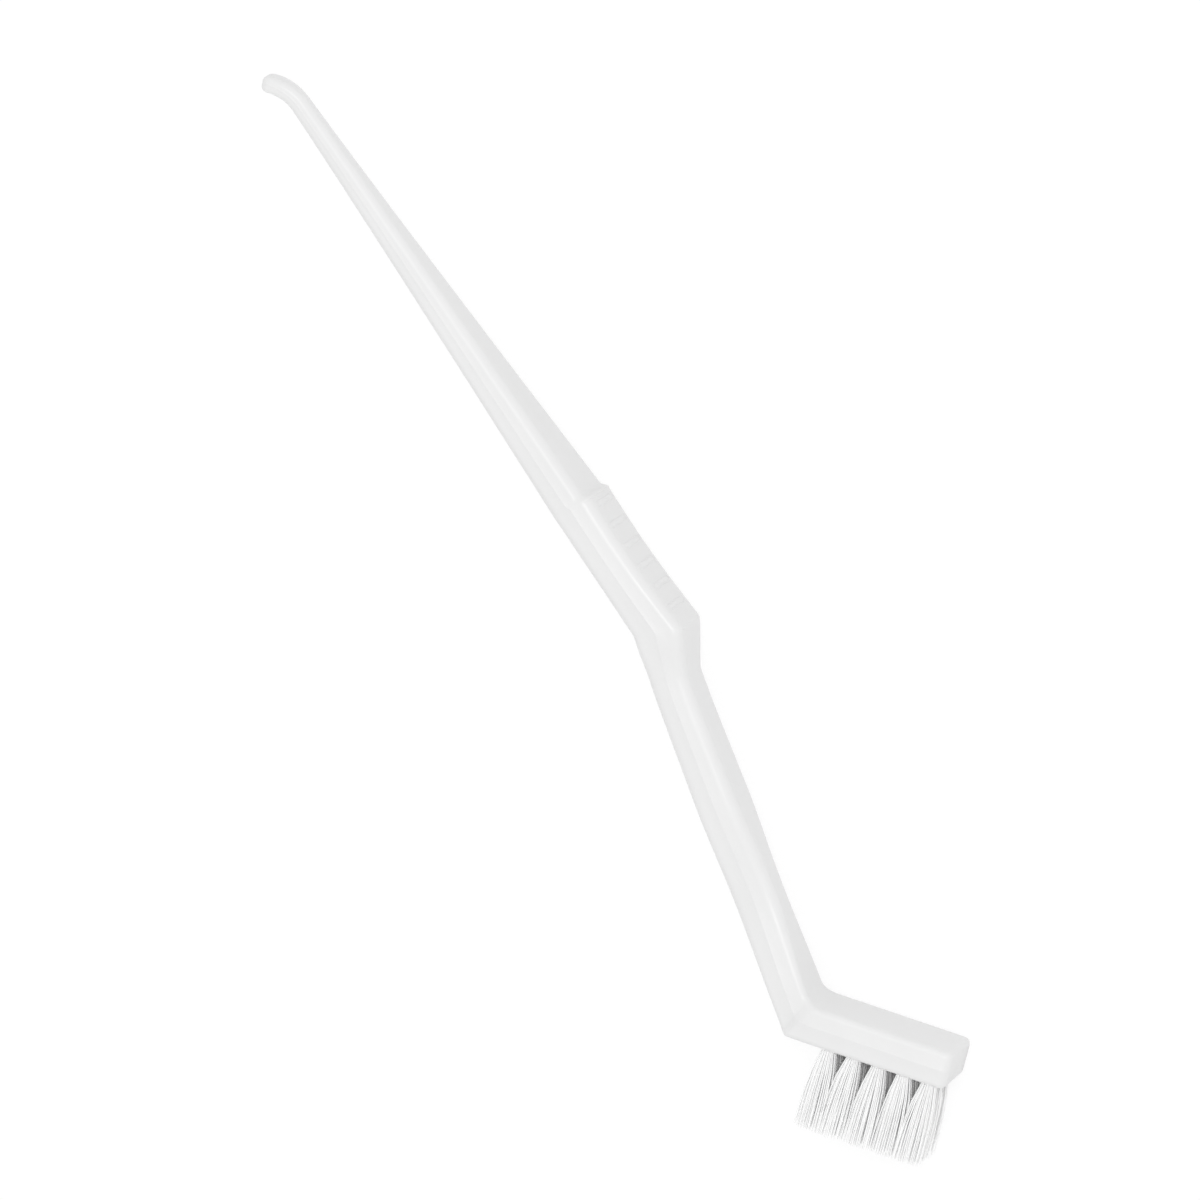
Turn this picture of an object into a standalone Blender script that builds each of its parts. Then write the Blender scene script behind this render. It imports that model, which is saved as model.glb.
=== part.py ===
"""Cleaning brush with a hooked pick end.

The handle is moulded in one piece: a hooked pick, a tapering shaft, a grip with
a ribbed thumb pad, an angled neck, and a head bent back from the neck. Nylon
tufts stand in blind holes in the head. Each tuft is a bundle folded round a
small metal anchor, whose ends bite into the wall of its hole.

The grip lies along X with the head toward +X. The bristles point toward -Y and
+Y is the back of the brush. Z runs across the width, so that the brush lies on
its flat side. Lengths are in metres and angles in degrees.
"""

import math
from typing import NamedTuple

import bmesh
import bpy
from mathutils import Matrix, Vector

# Tufts: bundles of filaments in rows across the head and columns along it
TUFT_COLUMNS = 5
TUFT_ROWS = 3
STRAND_DIAMETER = 0.00022
STRAND_GAP = 0.00009
STRAND_SIDES = 3
STRAND_RINGS = 3
INNER_RING_STRANDS = 3
STRANDS_ADDED_PER_RING = 6
INNER_RING_SHARE = 0.6
FREE_LENGTH = 0.0128
COLUMN_FAN = 0.0003
ROW_FAN = 0.0003
TIP_GAP = 0.0004
SPLAY_SHARES = (0.0, 0.42, 1.0)

# Root of a tuft, folded round its anchor
PLUG_RIM = 0.0001
PLUG_SIDES = 16
PLUG_RECESS = 0.0002
FOLD_THICKNESS = 0.00045
TUFT_COVER = 0.001
STRAND_SINK = 0.0002

# Anchors: short lengths of flat wire
ANCHOR_THICKNESS = 0.00025
ANCHOR_HEIGHT = 0.0015
ANCHOR_BITE = 0.00025

# Clearance that a tuft and its anchor keep to what holds them
FIT_GAP = 0.0001

# Head: the plastic left round and under the holes
HOLE_FLOOR = 0.00235
ROW_WALL = 0.0012
COLUMN_WALL = 0.00174
SIDE_LAND = 0.0014
END_LAND = 0.0017
HEEL_LAND = 0.006
HEAD_ANGLE = 38.4
HEAD_EDGE = 0.001
HEAD_CORNER = 0.0016
BEND_RADIUS = 0.0035
HEEL_RADIUS = 0.001

# Neck, from the shoulder of the grip to the bend of the head
NECK_LENGTH = 0.0606
NECK_TOP_ANGLE = -19.5
NECK_ANGLE = -14.6
NECK_CURVE_LENGTH = 0.018
NECK_TOP_WIDTH = 0.0096
NECK_TOP_THICKNESS = 0.006
NECK_WAIST_WIDTH = 0.0068
NECK_WAIST_THICKNESS = 0.0067
NECK_FOOT_WIDTH = 0.0098
NECK_FOOT_THICKNESS = 0.0057
NECK_EDGE = 0.0017
NECK_NARROW_SHARE = 0.36
NECK_WAIST_SHARE = 0.7

# Grip, from the start of the thumb pad to the front bend
GRIP_LENGTH = 0.0205
GRIP_THICKNESS = 0.0058
GRIP_EDGE = 0.0016
PAD_HEIGHT = 0.0008
PAD_RAMP = 0.0012
PAD_DISH = 0.0004
GRIP_BELLY = 0.0004
SHOULDER_LEAD = 0.0032
SHOULDER_RADIUS = 0.0007
FRONT_BEND_RADIUS = 0.004
RAMP_FOOT = 0.0103

# Ribs across the thumb pad
RIB_COUNT = 6
RIB_HEIGHT = 0.00025
RIB_RADIUS = 0.0006
RIB_SIDES = 16
RIB_END_MARGIN = 0.0026
RIB_SIDE_MARGIN = 0.0022

# Shaft, from the pick to the thumb pad
SHAFT_LENGTH = 0.0712
SHAFT_TIP_WIDTH = 0.0034
SHAFT_TIP_THICKNESS = 0.0028
SHAFT_TIP_EDGE = 0.0011
WIDTH_TAPER = 1.25
THICKNESS_TAPER = 1.1

# Pick, bent toward the bristle side
PICK_RADIUS = 0.0077
PICK_ANGLE = 40.0
PICK_TIP_WIDTH = 0.0042
PICK_TIP_THICKNESS = 0.0025
PICK_TIP_EDGE = 0.0009
PICK_TIP_CORNER = 0.0014

# Sizes that follow from the ones above
STRAND_PITCH = STRAND_DIAMETER + STRAND_GAP
BUNDLE_RADIUS = STRAND_PITCH * (STRAND_RINGS - 1 + INNER_RING_SHARE)
PLUG_RADIUS = BUNDLE_RADIUS + STRAND_DIAMETER / 2 + PLUG_RIM
HOLE_RADIUS = PLUG_RADIUS + FIT_GAP
ROW_PITCH = 2 * HOLE_RADIUS + ROW_WALL
COLUMN_PITCH = 2 * HOLE_RADIUS + COLUMN_WALL
HEAD_WIDTH = 2 * SIDE_LAND + 2 * HOLE_RADIUS + (TUFT_ROWS - 1) * ROW_PITCH
TUFT_FIELD = 2 * HOLE_RADIUS + (TUFT_COLUMNS - 1) * COLUMN_PITCH
HEAD_LENGTH = HEEL_LAND + TUFT_FIELD + END_LAND
SLOT_HEIGHT = ANCHOR_HEIGHT + 2 * FIT_GAP
PLUG_HEIGHT = FOLD_THICKNESS + SLOT_HEIGHT + TUFT_COVER
HOLE_DEPTH = FIT_GAP + PLUG_HEIGHT + PLUG_RECESS
HEAD_THICKNESS = HOLE_FLOOR + HOLE_DEPTH
ANCHOR_LENGTH = 2 * (HOLE_RADIUS + ANCHOR_BITE)
TIP_RADIUS = (ROW_PITCH + ROW_FAN - TIP_GAP) / 2
GRIP_WIDTH = HEAD_WIDTH

# How far a cutter reaches past the face that it cuts
CUT_OVERRUN = 0.0005

# Steps of the loft
EDGE_STEPS = 4
ARC_STEPS = 4
END_STEPS = 6
PICK_STEPS = 7
SHAFT_STEPS = 22
GRIP_STEPS = 7
RAMP_STEPS = 4
NECK_STEPS = 20
BEND_RUN_STEPS = 3
END_TURN = math.radians(75)
FULLEST_EDGE_SHARE = 0.48
SMOOTH_ANGLE = math.radians(35)


class Section(NamedTuple):
    """A cut through the handle: its front and back points, width and edge radius."""

    front: Vector
    back: Vector
    width: float
    edge: float


def along(angle):
    """Unit vector that runs toward the head at an angle."""
    return Vector((math.cos(angle), math.sin(angle)))


def backward(angle):
    """Unit vector square to that, toward the back of the brush."""
    return Vector((-math.sin(angle), math.cos(angle)))


def mix(start, end, share):
    return start + (end - start) * share


def ease(share):
    """Share that starts and stops gently, held between 0 and 1."""
    held = min(max(share, 0), 1)
    return held * held * (3 - 2 * held)


def square_section(centre, angle, thickness, width, edge):
    half = backward(angle) * (thickness / 2)
    return Section(centre - half, centre + half, width, edge)


def meeting_point(point_a, angle_a, point_b, angle_b):
    """Point where two lines cross, each given by a point and an angle."""
    line = along(angle_a)
    normal = backward(angle_b)
    return point_a + line * ((point_b - point_a).dot(normal) / line.dot(normal))


def fillet(before, corner, after, radius, steps):
    """Points along the arc that rounds a corner of an outline."""
    to_before = before - corner
    to_after = after - corner
    half = to_before.angle(to_after) / 2
    room = min(to_before.length, to_after.length)
    setback = min(radius / math.tan(half), room)
    start = corner + to_before.normalized() * setback
    middle = (to_before.normalized() + to_after.normalized()).normalized()
    centre = corner + middle * (setback / math.cos(half))
    spoke = start - centre
    sweep = math.pi - 2 * half
    if spoke.x * middle.y - spoke.y * middle.x > 0:
        sweep = -sweep
    return [centre + Matrix.Rotation(sweep * step / steps, 2) @ spoke for step in range(steps + 1)]


def run(start, end, steps):
    """Evenly spaced points from start to end, without either."""
    return [mix(start, end, step / steps) for step in range(1, steps)]


def rounded_end(section, outward, corner):
    """Sections that close a flat bar whose end is rounded in both views."""
    across = (section.back - section.front).normalized()
    edge = section.edge
    sections = []
    for step in range(1, END_STEPS + 1):
        turn = END_TURN * step / END_STEPS
        reach = corner * math.sin(turn)
        left = corner * math.sin(END_TURN) - reach
        bite = max(edge - left, 0) * math.sin(END_TURN)
        inset = edge - math.sqrt(edge * edge - bite * bite)
        front = section.front + outward * reach + across * inset
        back = section.back + outward * reach - across * inset
        width = section.width - 2 * corner * (1 - math.cos(turn))
        sections.append(Section(front, back, width, edge - inset))
    return sections


def pick_sections():
    """From the free tip of the pick to the shaft, round the bend."""
    sections = []
    root = Vector((-GRIP_LENGTH - SHAFT_LENGTH, 0))
    centre = root - Vector((0, PICK_RADIUS))
    for step in range(PICK_STEPS):
        share = 1 - step / PICK_STEPS
        angle = math.radians(PICK_ANGLE) * share
        section = square_section(
            centre + backward(angle) * PICK_RADIUS,
            angle,
            mix(SHAFT_TIP_THICKNESS, PICK_TIP_THICKNESS, share),
            mix(SHAFT_TIP_WIDTH, PICK_TIP_WIDTH, ease(share)),
            mix(SHAFT_TIP_EDGE, PICK_TIP_EDGE, share),
        )
        sections.append(section)
    end = rounded_end(sections[0], -along(math.radians(PICK_ANGLE)), PICK_TIP_CORNER)
    return end[::-1] + sections


def shaft_sections():
    """From the pick to the start of the thumb pad."""
    sections = []
    for step in range(SHAFT_STEPS + 1):
        share = step / SHAFT_STEPS
        section = square_section(
            Vector((-GRIP_LENGTH - SHAFT_LENGTH * (1 - share), 0)),
            0,
            mix(SHAFT_TIP_THICKNESS, GRIP_THICKNESS, share**THICKNESS_TAPER),
            mix(SHAFT_TIP_WIDTH, GRIP_WIDTH, share**WIDTH_TAPER),
            mix(SHAFT_TIP_EDGE, GRIP_EDGE, share),
        )
        sections.append(section)
    return sections


def neck_centre(distance):
    """Point and angle of the neck's axis at a distance from the front bend."""
    top = math.radians(NECK_TOP_ANGLE)
    straight = math.radians(NECK_ANGLE)
    bent = min(distance, NECK_CURVE_LENGTH)
    angle = mix(top, straight, bent / NECK_CURVE_LENGTH)
    point = along(mix(top, angle, 0.5)) * bent + along(straight) * (distance - bent)
    return point, angle


def neck_section(distance):
    """Section of the neck at a distance from the front bend."""
    share = (distance - RAMP_FOOT) / (NECK_LENGTH - RAMP_FOOT)
    narrowing = (share - NECK_NARROW_SHARE) / (NECK_WAIST_SHARE - NECK_NARROW_SHARE)
    flare = (share - NECK_WAIST_SHARE) / (1 - NECK_WAIST_SHARE)
    width = mix(NECK_TOP_WIDTH, NECK_WAIST_WIDTH, ease(narrowing))
    width = mix(width, NECK_FOOT_WIDTH, ease(flare))
    thickness = mix(NECK_TOP_THICKNESS, NECK_WAIST_THICKNESS, ease(share / NECK_WAIST_SHARE))
    thickness = mix(thickness, NECK_FOOT_THICKNESS, ease(flare))
    point, angle = neck_centre(distance)
    return square_section(point, angle, thickness, width, mix(NECK_EDGE, HEAD_EDGE, ease(flare)))


def pad_surface(place):
    """Height of the dished thumb pad at a place along the grip."""
    share = (place + GRIP_LENGTH) / (GRIP_LENGTH + SHOULDER_LEAD)
    return GRIP_THICKNESS / 2 + PAD_HEIGHT - PAD_DISH * math.sin(math.pi * share)


def grip_sections():
    """The thumb pad, its shoulder and the ramp down to the neck."""
    foot = neck_section(RAMP_FOOT)
    half = GRIP_THICKNESS / 2
    front_start = Vector((-GRIP_LENGTH, -half))
    back_start = Vector((PAD_RAMP - GRIP_LENGTH, half + PAD_HEIGHT))
    slope = -math.atan(GRIP_BELLY / GRIP_LENGTH)
    front_bend = meeting_point(front_start, slope, foot.front, math.radians(NECK_TOP_ANGLE))
    shoulder = Vector((front_bend.x + SHOULDER_LEAD, back_start.y))
    fronts = fillet(front_start, front_bend, foot.front, FRONT_BEND_RADIUS, ARC_STEPS)
    backs = fillet(back_start, shoulder, foot.back, SHOULDER_RADIUS, ARC_STEPS)
    grip_fronts = run(front_start, fronts[0], GRIP_STEPS)
    grip_backs = [Vector((point.x, pad_surface(point.x))) for point in run(back_start, backs[0], GRIP_STEPS)]
    grip_fronts.insert(0, front_start + along(slope) * PAD_RAMP)
    grip_backs.insert(0, back_start)
    sections = [Section(*pair, GRIP_WIDTH, GRIP_EDGE) for pair in zip(grip_fronts + fronts, grip_backs + backs)]
    ramp = zip(run(fronts[-1], foot.front, RAMP_STEPS), run(backs[-1], foot.back, RAMP_STEPS))
    for step, pair in enumerate(ramp, 1):
        share = ease(step / RAMP_STEPS)
        width = mix(GRIP_WIDTH, foot.width, share)
        sections.append(Section(*pair, width, mix(GRIP_EDGE, NECK_EDGE, share)))
    return sections


def neck_sections():
    """From the foot of the ramp to the bend of the head."""
    return [neck_section(mix(RAMP_FOOT, NECK_LENGTH, step / NECK_STEPS)) for step in range(NECK_STEPS + 1)]


class Head(NamedTuple):
    """Where the head lies: its heel, its angle and the centre of its inner bend."""

    heel: Vector
    angle: float
    pivot: Vector


def place_head():
    """Lines of the neck and the head, met at the heel."""
    neck_angle = math.radians(NECK_ANGLE)
    head_angle = math.radians(HEAD_ANGLE)
    neck_end = neck_section(NECK_LENGTH)
    pivot = neck_end.back + backward(neck_angle) * BEND_RADIUS
    front = pivot - backward(head_angle) * (BEND_RADIUS + HEAD_THICKNESS)
    heel = meeting_point(neck_end.front, neck_angle, front, head_angle)
    return Head(heel, head_angle, pivot)


def head_sections(head):
    """Round the bend from the neck, and along the head to its free end."""
    neck_angle = math.radians(NECK_ANGLE)
    neck_end = neck_section(NECK_LENGTH)
    foot_back = head.pivot - backward(head.angle) * BEND_RADIUS
    foot_front = foot_back - backward(head.angle) * HEAD_THICKNESS
    heel_arc = fillet(neck_end.front, head.heel, foot_front, HEEL_RADIUS, ARC_STEPS)
    fronts = run(neck_end.front, heel_arc[0], BEND_RUN_STEPS)
    fronts += heel_arc
    fronts += run(heel_arc[-1], foot_front, BEND_RUN_STEPS)
    sections = []
    for index, front in enumerate(fronts, 1):
        angle = mix(neck_angle, head.angle, index / (len(fronts) + 1))
        back = head.pivot - backward(angle) * BEND_RADIUS
        width = mix(NECK_FOOT_WIDTH, HEAD_WIDTH, ease(index / len(fronts)))
        sections.append(Section(front, back, width, HEAD_EDGE))
    sections.append(Section(foot_front, foot_back, HEAD_WIDTH, HEAD_EDGE))
    outward = along(head.angle)
    straight = HEAD_LENGTH - (foot_front - head.heel).length - HEAD_CORNER * math.sin(END_TURN)
    end = Section(foot_front + outward * straight, foot_back + outward * straight, HEAD_WIDTH, HEAD_EDGE)
    return sections + [end] + rounded_end(end, outward, HEAD_CORNER)


def ring_points(section):
    """Points of the rounded rectangle that stands on a section."""
    across = section.back - section.front
    depth = across.length
    across.normalize()
    radius = min(section.edge, FULLEST_EDGE_SHARE * min(depth, section.width))
    side = section.width / 2 - radius
    centres = ((depth - radius, side), (radius, side), (radius, -side), (depth - radius, -side))
    points = []
    for quarter, (rise, height) in enumerate(centres):
        for step in range(EDGE_STEPS + 1):
            turn = math.radians(90) * (quarter + step / EDGE_STEPS)
            flat = section.front + across * (rise + radius * math.cos(turn))
            points.append(flat.to_3d() + Vector((0, 0, height + radius * math.sin(turn))))
    return points


def loft(sections):
    """Closed skin over a row of sections."""
    skin = bmesh.new()
    rings = [[skin.verts.new(point) for point in ring_points(section)] for section in sections]
    count = len(rings[0])
    for ring, following in zip(rings, rings[1:]):
        for index in range(count):
            after = (index + 1) % count
            skin.faces.new((ring[index], ring[after], following[after], following[index]))
    skin.faces.new(rings[0])
    skin.faces.new(rings[-1])
    bmesh.ops.recalc_face_normals(skin, faces=skin.faces)
    return skin


def new_object(name, shape, collection, datum):
    """Object made from a bmesh, parented to the datum."""
    mesh = bpy.data.meshes.new(name)
    shape.to_mesh(mesh)
    shape.free()
    item = bpy.data.objects.new(name, mesh)
    collection.objects.link(item)
    item.parent = datum
    return item


def new_part(name, shape, material, collection, datum):
    """Named piece of the brush, shaded smooth between its sharp edges."""
    part = new_object(name, shape, collection, datum)
    part.data.materials.append(material)
    part.data.shade_smooth()
    part.data.set_sharp_from_angle(angle=SMOOTH_ANGLE)
    return part


def new_cutter(name, shape, collection, datum):
    """Guide for a Boolean, left out of the render."""
    cutter = new_object(name, shape, collection, datum)
    cutter.display_type = "WIRE"
    cutter.hide_render = True
    return cutter


def combine(part, operation, other):
    """Boolean of a part with another object."""
    modifier = part.modifiers.new(other.name, "BOOLEAN")
    modifier.operation = operation
    modifier.solver = "EXACT"
    modifier.object = other


def new_material(name, color, roughness, metallic):
    material = bpy.data.materials.new(name)
    material.use_nodes = True
    shader = material.node_tree.nodes["Principled BSDF"]
    shader.inputs["Base Color"].default_value = (*color, 1.0)
    shader.inputs["Roughness"].default_value = roughness
    shader.inputs["Metallic"].default_value = metallic
    return material


def tuft_frame(head, column, row):
    """Matrix of a tuft: x along the head, y across it and z out of the bristle face."""
    first = HEEL_LAND + HOLE_RADIUS
    mouth = head.heel + along(head.angle) * (first + column * COLUMN_PITCH)
    height = (row - (TUFT_ROWS - 1) / 2) * ROW_PITCH
    lengthwise = along(head.angle).to_3d()
    outward = -backward(head.angle).to_3d()
    sideways = outward.cross(lengthwise)
    turn = Matrix((lengthwise, sideways, outward)).transposed().to_4x4()
    return Matrix.Translation(mouth.to_3d() + Vector((0, 0, height))) @ turn


def add_cylinder(shape, radius, bottom, top, sides, frame):
    """Cylinder between two heights of a frame."""
    place = frame @ Matrix.Translation((0, 0, (bottom + top) / 2))
    bmesh.ops.create_cone(
        shape, cap_ends=True, segments=sides, radius1=radius, radius2=radius, depth=top - bottom, matrix=place
    )


def add_box(shape, size, centre, frame):
    """Box of a size round a point of a frame."""
    place = frame @ Matrix.Translation(centre) @ Matrix.Diagonal((*size, 1))
    bmesh.ops.create_cube(shape, size=1, matrix=place)


def anchor_box(shape, frame, gap):
    """Anchor, or with a gap the slot that it sits in."""
    size = (ANCHOR_LENGTH + 2 * gap, ANCHOR_THICKNESS + 2 * gap, ANCHOR_HEIGHT + 2 * gap)
    height = FIT_GAP + FOLD_THICKNESS + SLOT_HEIGHT / 2 - HOLE_DEPTH
    add_box(shape, size, Vector((0, 0, height)), frame)


def strand_roots():
    """Places of the filaments in a bundle, ring by ring round its middle."""
    places = []
    for ring in range(STRAND_RINGS):
        count = INNER_RING_STRANDS + STRANDS_ADDED_PER_RING * ring
        radius = STRAND_PITCH * (ring + INNER_RING_SHARE)
        for index in range(count):
            turn = math.tau * (index + ring / 2) / count
            places.append(Vector((math.cos(turn), math.sin(turn))) * radius)
    return places


def add_strand(shape, place, lean, frame):
    """Filament that starts in the plug and spreads outward to its tip."""
    spread = place * ((TIP_RADIUS - STRAND_DIAMETER / 2) / BUNDLE_RADIUS - 1)
    root = -PLUG_RECESS - STRAND_SINK
    loops = []
    for step, share in enumerate(SPLAY_SHARES):
        middle = place + (spread + lean) * share
        rise = mix(root, FREE_LENGTH, step / (len(SPLAY_SHARES) - 1))
        loop = []
        for side in range(STRAND_SIDES):
            turn = math.tau * side / STRAND_SIDES
            corner = middle + Vector((math.cos(turn), math.sin(turn))) * (STRAND_DIAMETER / 2)
            loop.append(shape.verts.new(frame @ Vector((*corner, rise))))
        loops.append(loop)
    for loop, following in zip(loops, loops[1:]):
        for side in range(STRAND_SIDES):
            after = (side + 1) % STRAND_SIDES
            shape.faces.new((loop[side], loop[after], following[after], following[side]))
    shape.faces.new(loops[0][::-1])
    shape.faces.new(loops[-1])


def make_handle(head, material, parts, cutters, datum):
    """Moulded handle, with its thumb ribs, tuft holes and anchor slots."""
    sections = pick_sections() + shaft_sections() + grip_sections() + neck_sections() + head_sections(head)
    handle = new_part("handle", loft(sections), material, parts, datum)
    combine(handle, "UNION", new_cutter("thumb_ribs", rib_shape(), cutters, datum))
    holes = bmesh.new()
    slots = bmesh.new()
    for frame in all_frames(head).values():
        add_cylinder(holes, HOLE_RADIUS, -HOLE_DEPTH, CUT_OVERRUN, PLUG_SIDES, frame)
        anchor_box(slots, frame, FIT_GAP)
    combine(handle, "DIFFERENCE", new_cutter("tuft_holes", holes, cutters, datum))
    combine(handle, "DIFFERENCE", new_cutter("anchor_slots", slots, cutters, datum))


def rib_shape():
    """Low round bars across the thumb pad."""
    ribs = bmesh.new()
    first = RIB_END_MARGIN - GRIP_LENGTH
    last = SHOULDER_LEAD - RIB_END_MARGIN
    reach = GRIP_WIDTH / 2 - RIB_SIDE_MARGIN
    for index in range(RIB_COUNT):
        place = mix(first, last, index / (RIB_COUNT - 1))
        frame = Matrix.Translation((place, pad_surface(place) + RIB_HEIGHT - RIB_RADIUS, 0))
        add_cylinder(ribs, RIB_RADIUS, -reach, reach, RIB_SIDES, frame)
    return ribs


def all_frames(head):
    """Frame of every tuft, by its column and row."""
    places = [(column, row) for column in range(TUFT_COLUMNS) for row in range(TUFT_ROWS)]
    return {place: tuft_frame(head, *place) for place in places}


def make_tuft(label, lean, frame, material, parts, cutters, datum):
    """Folded bundle: a plug with a slot for its anchor, and free filaments."""
    plug = bmesh.new()
    bottom = FIT_GAP - HOLE_DEPTH
    add_cylinder(plug, PLUG_RADIUS, bottom, bottom + PLUG_HEIGHT, PLUG_SIDES, frame)
    tuft = new_part("tuft_" + label, plug, material, parts, datum)
    slot = bmesh.new()
    anchor_box(slot, frame, FIT_GAP)
    combine(tuft, "DIFFERENCE", new_cutter("slot_" + label, slot, cutters, datum))
    strands = bmesh.new()
    for place in strand_roots():
        add_strand(strands, place, lean, frame)
    combine(tuft, "UNION", new_cutter("strands_" + label, strands, cutters, datum))


def make_anchor(label, frame, material, parts, datum):
    """Flat wire that holds a tuft down in its hole."""
    plate = bmesh.new()
    anchor_box(plate, frame, 0)
    new_part("anchor_" + label, plate, material, parts, datum)


def stand_on_origin(datum, parts):
    """Moves the datum so that the middle of the lowest side lies at the origin."""
    bpy.context.view_layer.update()
    graph = bpy.context.evaluated_depsgraph_get()
    corners = []
    for part in parts.objects:
        evaluated = part.evaluated_get(graph)
        corners += [evaluated.matrix_world @ vertex.co for vertex in evaluated.data.vertices]
    low = Vector([min(corner[axis] for corner in corners) for axis in range(3)])
    high = Vector([max(corner[axis] for corner in corners) for axis in range(3)])
    datum.location = (-(low.x + high.x) / 2, -(low.y + high.y) / 2, -low.z)
    bpy.context.view_layer.update()
    print("brush size", tuple(high - low), "datum", tuple(datum.location))


def build():
    for item in list(bpy.data.objects):
        bpy.data.objects.remove(item, do_unlink=True)
    parts = bpy.data.collections.new("cleaning_brush")
    cutters = bpy.data.collections.new("cutters")
    for collection in (parts, cutters):
        bpy.context.scene.collection.children.link(collection)
    datum = bpy.data.objects.new("brush_datum", None)
    bpy.context.scene.collection.objects.link(datum)

    plastic = new_material("white_plastic", (0.86, 0.86, 0.85), 0.38, 0.0)
    nylon = new_material("white_nylon", (0.88, 0.88, 0.86), 0.5, 0.0)
    steel = new_material("anchor_steel", (0.62, 0.61, 0.58), 0.35, 1.0)

    head = place_head()
    make_handle(head, plastic, parts, cutters, datum)
    for (column, row), frame in all_frames(head).items():
        label = f"c{column + 1}_r{row + 1}"
        columnwise = column - (TUFT_COLUMNS - 1) / 2
        rowwise = row - (TUFT_ROWS - 1) / 2
        lean = Vector((columnwise * COLUMN_FAN, rowwise * ROW_FAN))
        make_tuft(label, lean, frame, nylon, parts, cutters, datum)
        make_anchor(label, frame, steel, parts, datum)
    stand_on_origin(datum, parts)


build()
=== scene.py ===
"""Looks of a white plastic cleaning brush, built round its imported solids.

The handle is one moulding: a hooked pick, a tapering shaft, a grip with a ribbed
thumb pad, an angled neck and a head bent back from the neck. Fifteen tufts of
nylon filaments are folded round flat wire anchors in the holes of the head.

The outline of the handle is drawn in the plane of its bends, with the front bend
of the grip at the origin, the head toward +X and the bristles toward -Y. Lengths
are in metres.
"""

import math
from typing import NamedTuple

import bmesh
import bpy
from mathutils import Matrix, Vector


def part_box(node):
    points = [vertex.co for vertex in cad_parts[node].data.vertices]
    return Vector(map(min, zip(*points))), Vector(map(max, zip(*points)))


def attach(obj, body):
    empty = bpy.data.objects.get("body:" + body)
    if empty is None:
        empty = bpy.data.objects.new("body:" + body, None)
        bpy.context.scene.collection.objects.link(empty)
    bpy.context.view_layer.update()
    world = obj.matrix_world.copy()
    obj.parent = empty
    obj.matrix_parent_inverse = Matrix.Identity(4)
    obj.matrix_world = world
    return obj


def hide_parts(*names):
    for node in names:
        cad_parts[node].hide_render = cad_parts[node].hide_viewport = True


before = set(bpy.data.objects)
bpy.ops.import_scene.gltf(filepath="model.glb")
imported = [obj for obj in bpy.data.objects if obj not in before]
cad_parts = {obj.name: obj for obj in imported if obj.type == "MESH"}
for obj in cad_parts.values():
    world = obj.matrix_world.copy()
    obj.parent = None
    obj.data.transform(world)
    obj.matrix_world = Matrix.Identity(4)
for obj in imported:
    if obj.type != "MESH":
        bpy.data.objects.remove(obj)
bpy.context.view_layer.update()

# Camera: a long lens above the brush, leaning toward its back
VIEW_WIDTH = 0.1778
CAMERA_DISTANCE = 2.0
CAMERA_LEAN = math.radians(20)
CAMERA_TURN = math.radians(55.1)
CAMERA_AIM = Vector((-0.0021, 0.0062, 0.0079))
SENSOR_WIDTH = 36.0
CLIP_FACTOR = 10

# Studio: a soft box in line with the camera, and an even sky
SKY_STRENGTH = 0.9
BACKDROP_STRENGTH = 1.0
KEY_POWER = 1.8
KEY_SIZE = 0.25
KEY_DISTANCE = 0.9
KEY_DIRECTION = Vector((0.0, 0.342, 0.94))
DIFFUSE_BOUNCES = 12

# Floor: pale paper for the light, shown as white paper that keeps a faint shadow
FLOOR_SIZE = 6.0
FLOOR_DROP = 0.0002
FLOOR_GREY = 0.85
SHOWN_FLOOR_GREY = 0.16
FLOOR_GLOW = 0.85

# Head, past its heel
HEAD_LENGTH = 0.02582
HEAD_THICKNESS = 0.0058
HEAD_ANGLE = 38.4
HEAD_EDGE = 0.001
HEAD_CORNER = 0.0016
BEND_RADIUS = 0.0035
HEEL_RADIUS = 0.001

# Neck, from the front bend of the grip to the bend of the head
NECK_LENGTH = 0.0606
NECK_TOP_ANGLE = -19.5
NECK_ANGLE = -14.6
NECK_CURVE_LENGTH = 0.018
NECK_TOP_WIDTH = 0.0096
NECK_TOP_THICKNESS = 0.006
NECK_WAIST_WIDTH = 0.0068
NECK_WAIST_THICKNESS = 0.0067
NECK_FOOT_WIDTH = 0.0098
NECK_FOOT_THICKNESS = 0.0057
NECK_EDGE = 0.0017
NECK_NARROW_SHARE = 0.36
NECK_WAIST_SHARE = 0.7

# Grip, from the start of the thumb pad to the front bend, and the ramp behind it
GRIP_LENGTH = 0.0205
GRIP_THICKNESS = 0.0058
GRIP_EDGE = 0.0016
PAD_HEIGHT = 0.0008
PAD_RAMP = 0.0012
PAD_DISH = 0.0004
GRIP_BELLY = 0.0004
SHOULDER_LEAD = 0.0032
SHOULDER_RADIUS = 0.0007
FRONT_BEND_RADIUS = 0.004
RAMP_FOOT = 0.0103

# Ribs across the thumb pad, where the skin's normal points at least so far backward
RIB_COUNT = 6
RIB_HEIGHT = 0.00025
RIB_RADIUS = 0.0006
RIB_END_MARGIN = 0.0026
RIB_SIDE_MARGIN = 0.0022
RIB_END_SLOPE = 0.0006
LEAST_BACKWARD = 0.7

# Shaft, from the pick to the thumb pad
SHAFT_LENGTH = 0.0712
SHAFT_TIP_WIDTH = 0.0034
SHAFT_TIP_THICKNESS = 0.0028
SHAFT_TIP_EDGE = 0.0011
WIDTH_TAPER = 1.25
THICKNESS_TAPER = 1.1

# Pick, bent toward the bristle side
PICK_RADIUS = 0.0077
PICK_ANGLE = 40.0
PICK_TIP_WIDTH = 0.0042
PICK_TIP_THICKNESS = 0.0025
PICK_TIP_EDGE = 0.0009
PICK_TIP_CORNER = 0.0014

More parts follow.
